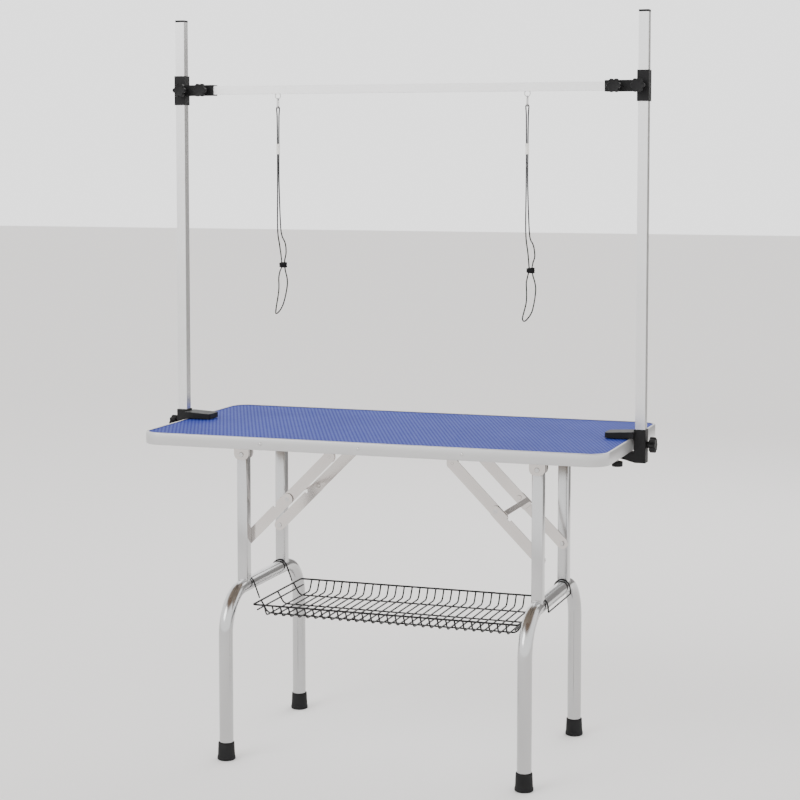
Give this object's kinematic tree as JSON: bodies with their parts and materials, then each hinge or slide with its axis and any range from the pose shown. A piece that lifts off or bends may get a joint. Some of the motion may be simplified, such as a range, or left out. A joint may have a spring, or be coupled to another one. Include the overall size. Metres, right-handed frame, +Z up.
{
  "type": "folding grooming table",
  "caption": "Folding pet grooming table with a ribbed mat, arched leg frames on locking stays, a wire basket, and clamped posts that hold a crossbar with hanging nooses.",
  "frame": {"origin": "on the floor, under the middle of the table", "axes": "+Z up, +X along the table top, +Y towards the back"},
  "size_m": [1.1746, 0.5486, 1.6878],
  "materials": {
    "black_plastic": "satin",
    "foot_rubber": "matt",
    "plated_steel": "bright zinc plate",
    "silver_paint": "satin silver-grey",
    "satin_aluminium": "satin",
    "blue_mat": "ribbed, matt",
    "board": "matt",
    "black_wire": "satin black coating",
    "noose_cord": "braided, matt",
    "ivory_plastic": "satin"
  },
  "bodies": {
    "table": {"table_panel": "board", "top_mat": "blue_mat", "edge_trim": "satin_aluminium", "left_front_hinge_bracket": "plated_steel", "left_front_hinge_pin": "plated_steel", "left_front_stay_bracket": "plated_steel", "left_rear_hinge_bracket": "plated_steel", "left_rear_hinge_pin": "plated_steel", "left_rear_stay_bracket": "plated_steel", "left_clamp": "black_plastic", "right_front_hinge_bracket": "plated_steel", "right_front_hinge_pin": "plated_steel", "right_front_stay_bracket": "plated_steel", "right_rear_hinge_bracket": "plated_steel", "right_rear_hinge_pin": "plated_steel", "right_rear_stay_bracket": "plated_steel", "right_clamp": "black_plastic"},
    "left_leg": {"left_leg_frame": "silver_paint", "left_front_foot": "foot_rubber", "left_rear_foot": "foot_rubber", "left_basket_hook": "black_wire"},
    "left_stay_upper": {"left_upper_stay": "plated_steel"},
    "left_stay_lower": {"left_front_lower_stay": "plated_steel", "left_rear_lower_stay": "plated_steel"},
    "right_leg": {"right_leg_frame": "silver_paint", "right_front_foot": "foot_rubber", "right_rear_foot": "foot_rubber", "right_basket_hook": "black_wire"},
    "right_stay_upper": {"right_upper_stay": "plated_steel"},
    "right_stay_lower": {"right_front_lower_stay": "plated_steel", "right_rear_lower_stay": "plated_steel"},
    "basket": {"basket_tray": "black_wire"},
    "left_post_body": {"left_post": "satin_aluminium", "left_post_cap": "black_plastic"},
    "right_post_body": {"right_post": "satin_aluminium", "right_post_cap": "black_plastic"},
    "bar": {"crossbar": "satin_aluminium", "left_connector": "black_plastic", "right_connector": "black_plastic", "left_noose_eye": "black_plastic", "right_noose_eye": "black_plastic"},
    "left_screw": {"left_clamp_screw": "black_plastic", "left_clamp_pad": "black_plastic"},
    "left_lock": {"left_post_lock_knob": "black_plastic"},
    "left_collar_star": {"left_collar_knob": "black_plastic"},
    "left_arm_star": {"left_arm_knob": "black_plastic"},
    "left_link": {"left_noose_link": "plated_steel"},
    "left_noose": {"left_noose_cord": "noose_cord", "left_noose_sleeve": "ivory_plastic", "left_noose_knot": "noose_cord"},
    "right_screw": {"right_clamp_screw": "black_plastic", "right_clamp_pad": "black_plastic"},
    "right_lock": {"right_post_lock_knob": "black_plastic"},
    "right_collar_star": {"right_collar_knob": "black_plastic"},
    "right_arm_star": {"right_arm_knob": "black_plastic"},
    "right_link": {"right_noose_link": "plated_steel"},
    "right_noose": {"right_noose_cord": "noose_cord", "right_noose_sleeve": "ivory_plastic", "right_noose_knot": "noose_cord"}
  },
  "joints": [
    {"name": "left_leg_fold", "type": "hinge", "parent": "table", "child": "left_leg", "pos_m": [-0.351, 0, 0.686], "axis": [0, -1, 0], "range_deg": [0, 90]},
    {"name": "left_upper_stay_pivot", "type": "hinge", "parent": "table", "child": "left_stay_upper", "pos_m": [-0.147, 0, 0.686], "axis": [0, 1, 0], "range_deg": [0, 45]},
    {"name": "left_lower_stay_pivot", "type": "hinge", "parent": "left_leg", "child": "left_stay_lower", "pos_m": [-0.351, 0, 0.482], "axis": [0, -1, 0], "range_deg": [0, 45]},
    {"name": "right_leg_fold", "type": "hinge", "parent": "table", "child": "right_leg", "pos_m": [0.351, 0, 0.686], "axis": [0, 1, 0], "range_deg": [0, 84]},
    {"name": "right_upper_stay_pivot", "type": "hinge", "parent": "table", "child": "right_stay_upper", "pos_m": [0.147, 0, 0.686], "axis": [0, -1, 0], "range_deg": [0, 42]},
    {"name": "right_lower_stay_pivot", "type": "hinge", "parent": "right_leg", "child": "right_stay_lower", "pos_m": [0.351, 0, 0.482], "axis": [0, 1, 0], "range_deg": [0, 42]},
    {"name": "basket_lift", "type": "slide", "parent": "table", "child": "basket", "axis": [0, 0, 1], "range_m": [0, 0.1]},
    {"name": "left_post_lift", "type": "slide", "parent": "table", "child": "left_post_body", "axis": [0, 0, 1], "range_m": [0, 0.04]},
    {"name": "right_post_lift", "type": "slide", "parent": "table", "child": "right_post_body", "axis": [0, 0, 1], "range_m": [0, 0.04]},
    {"name": "bar_height", "type": "slide", "parent": "left_post_body", "child": "bar", "axis": [0, 0, 1], "range_m": [-0.22, 0.11]},
    {"name": "left_clamp_screw_turn", "type": "hinge", "parent": "table", "child": "left_screw", "pos_m": [-0.5005, 0, 0.69], "axis": [0, 0, 1], "continuous": true},
    {"name": "left_post_lock_turn", "type": "hinge", "parent": "table", "child": "left_lock", "pos_m": [-0.575, 0, 0.735], "axis": [1, 0, 0], "continuous": true},
    {"name": "left_collar_knob_turn", "type": "hinge", "parent": "bar", "child": "left_collar_star", "pos_m": [-0.5455, -0.03, 1.5235], "axis": [0, 1, 0], "continuous": true},
    {"name": "left_arm_knob_turn", "type": "hinge", "parent": "bar", "child": "left_arm_star", "pos_m": [-0.493, -0.03, 1.5235], "axis": [0, 1, 0], "continuous": true},
    {"name": "left_link_swing", "type": "hinge", "parent": "bar", "child": "left_link", "pos_m": [-0.309, 0, 1.50575], "axis": [0, 1, 0], "range_deg": [-25, 25]},
    {"name": "left_noose_swing", "type": "hinge", "parent": "left_link", "child": "left_noose", "pos_m": [-0.309, 0, 1.485], "axis": [1, 0, 0], "range_deg": [-60, 60]},
    {"name": "right_clamp_screw_turn", "type": "hinge", "parent": "table", "child": "right_screw", "pos_m": [0.5005, 0, 0.69], "axis": [0, 0, 1], "continuous": true},
    {"name": "right_post_lock_turn", "type": "hinge", "parent": "table", "child": "right_lock", "pos_m": [0.575, 0, 0.735], "axis": [1, 0, 0], "continuous": true},
    {"name": "right_collar_knob_turn", "type": "hinge", "parent": "bar", "child": "right_collar_star", "pos_m": [0.5455, -0.03, 1.5235], "axis": [0, 1, 0], "continuous": true},
    {"name": "right_arm_knob_turn", "type": "hinge", "parent": "bar", "child": "right_arm_star", "pos_m": [0.493, -0.03, 1.5235], "axis": [0, 1, 0], "continuous": true},
    {"name": "right_link_swing", "type": "hinge", "parent": "bar", "child": "right_link", "pos_m": [0.29, 0, 1.50575], "axis": [0, 1, 0], "range_deg": [-25, 25]},
    {"name": "right_noose_swing", "type": "hinge", "parent": "right_link", "child": "right_noose", "pos_m": [0.29, 0, 1.485], "axis": [1, 0, 0], "range_deg": [-60, 60]}
  ],
  "couplings": [
    {"joint": "left_upper_stay_pivot", "follows": "left_leg_fold", "ratio": 0.5},
    {"joint": "left_lower_stay_pivot", "follows": "left_leg_fold", "ratio": 0.5},
    {"joint": "right_upper_stay_pivot", "follows": "right_leg_fold", "ratio": 0.5},
    {"joint": "right_lower_stay_pivot", "follows": "right_leg_fold", "ratio": 0.5},
    {"joint": "right_post_lift", "follows": "left_post_lift", "ratio": 1}
  ]
}
